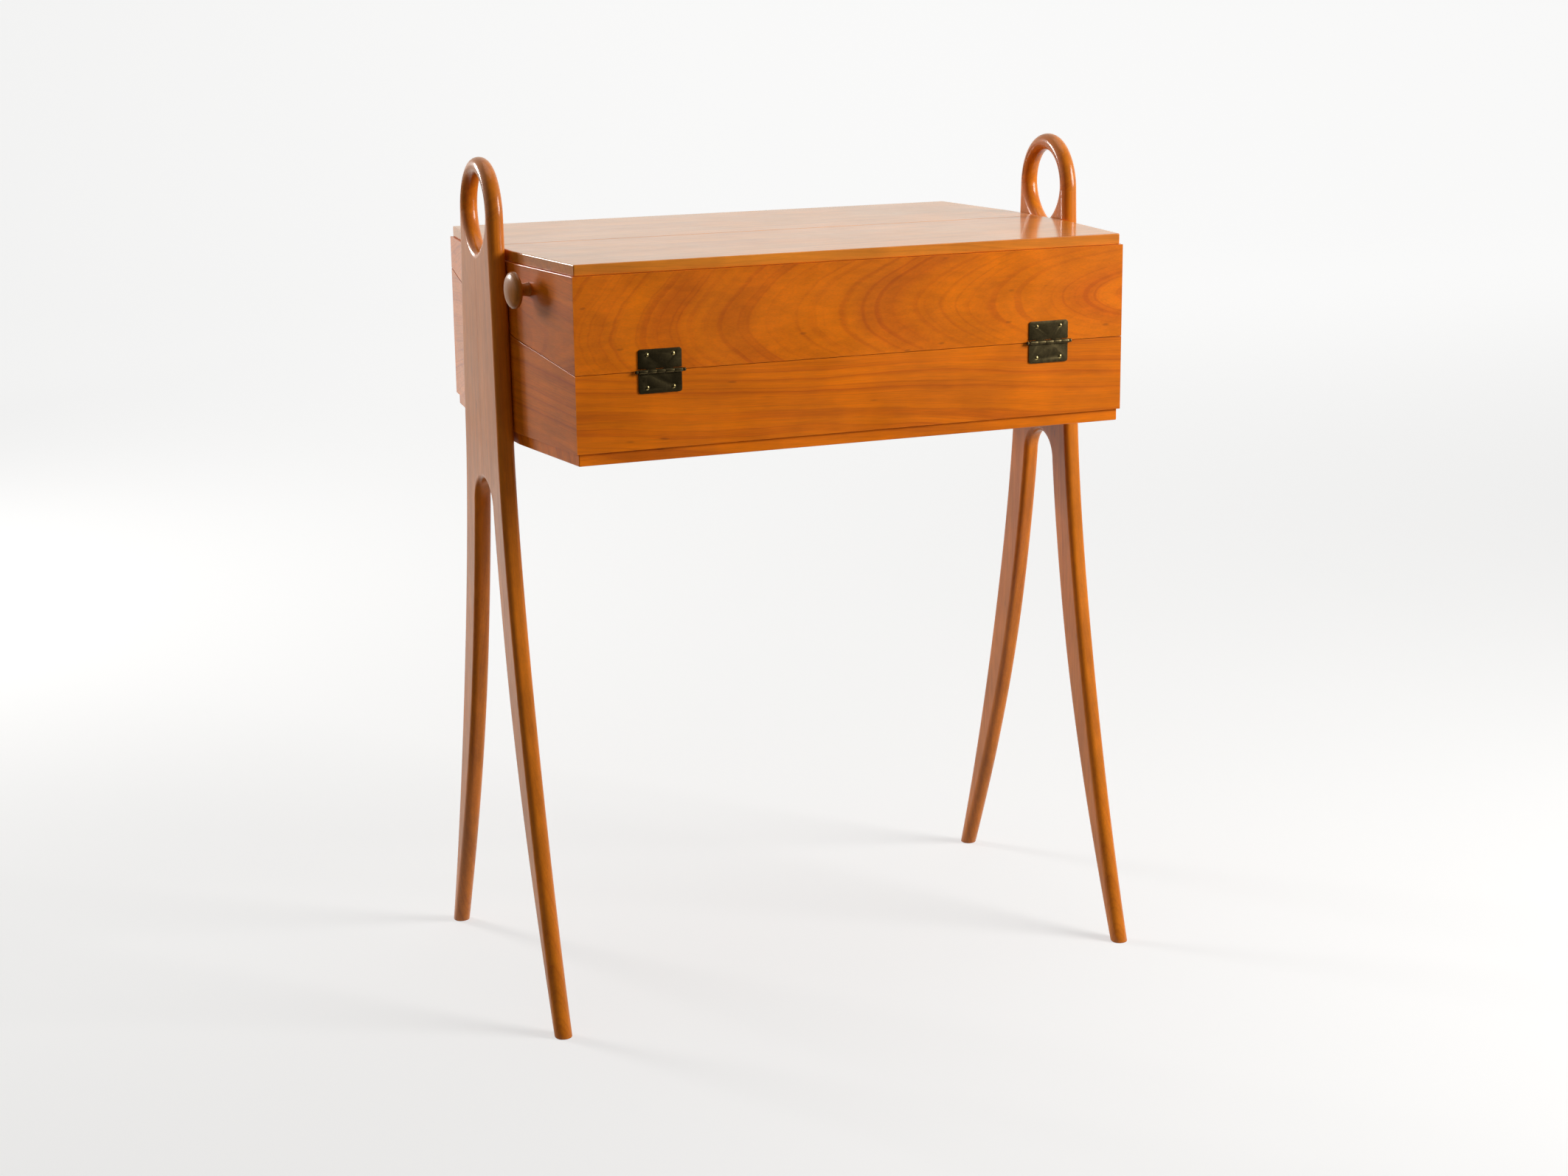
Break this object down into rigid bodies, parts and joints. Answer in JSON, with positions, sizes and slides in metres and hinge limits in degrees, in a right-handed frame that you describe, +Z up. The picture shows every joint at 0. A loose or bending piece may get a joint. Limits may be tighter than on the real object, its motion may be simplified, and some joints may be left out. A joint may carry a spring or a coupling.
{
  "type": "sewing table",
  "caption": "Free-standing wooden sewing table: a long box with fold-out lids hung between A-shaped leg frames that end in ring handles.",
  "frame": {"origin": "on the floor, under the middle of the table", "axes": "+X along the box to the right seen from the front, -Y towards the front (the deep lid's hinges), +Z up"},
  "size_m": [0.602, 0.3862, 0.7915],
  "materials": {
    "cherry_panel": "satin varnished cherry, flat grain along the box",
    "cherry_frame": "satin varnished cherry, straight grain along the legs",
    "cherry_inside": "oiled cherry, matt",
    "cherry_knob": "turned and polished cherry",
    "hinge_patina": "dark patinated brass",
    "brass": "worn brass screws"
  },
  "bodies": {
    "stand": {"left_front_leg": "cherry_frame", "left_back_leg": "cherry_frame", "left_handle": "cherry_frame", "left_frame_dowels": "cherry_inside", "left_frame_screws": "brass", "right_front_leg": "cherry_frame", "right_back_leg": "cherry_frame", "right_handle": "cherry_frame", "right_frame_dowels": "cherry_inside", "right_frame_screws": "brass", "bottom_board": "cherry_panel", "box_front_wall": "cherry_panel", "box_back_wall": "cherry_panel", "box_left_front_end": "cherry_panel", "box_left_back_end": "cherry_panel", "box_right_front_end": "cherry_panel", "box_right_back_end": "cherry_panel", "left_cleat": "cherry_inside", "right_cleat": "cherry_inside", "long_divider": "cherry_inside", "left_cross_divider": "cherry_inside", "right_cross_divider": "cherry_inside", "front_left_box_leaf": "hinge_patina", "front_left_pin": "hinge_patina", "front_right_box_leaf": "hinge_patina", "front_right_pin": "hinge_patina", "back_left_box_leaf": "hinge_patina", "back_left_pin": "hinge_patina", "back_right_box_leaf": "hinge_patina", "back_right_pin": "hinge_patina", "box_hinge_screws": "brass"},
    "front_lid": {"front_lid_top": "cherry_panel", "front_lid_wall": "cherry_panel", "front_lid_left_end": "cherry_panel", "front_lid_right_end": "cherry_panel", "front_lid_rail": "cherry_inside", "left_knob": "cherry_knob", "right_knob": "cherry_knob", "knob_screws": "brass", "front_left_lid_leaf": "hinge_patina", "front_right_lid_leaf": "hinge_patina", "front_lid_hinge_screws": "brass"},
    "back_lid": {"back_lid_top": "cherry_panel", "back_lid_wall": "cherry_panel", "back_lid_left_end": "cherry_panel", "back_lid_right_end": "cherry_panel", "back_lid_rail": "cherry_inside", "back_left_lid_leaf": "hinge_patina", "back_right_lid_leaf": "hinge_patina", "back_lid_hinge_screws": "brass"}
  },
  "joints": [
    {"name": "front_lid_hinge", "type": "hinge", "parent": "stand", "child": "front_lid", "pos_m": [0, -0.19115, 0.615], "axis": [1, 0, 0], "range_deg": [0, 180]},
    {"name": "back_lid_hinge", "type": "hinge", "parent": "stand", "child": "back_lid", "pos_m": [0, 0.19115, 0.67], "axis": [-1, 0, 0], "range_deg": [0, 180]}
  ]
}
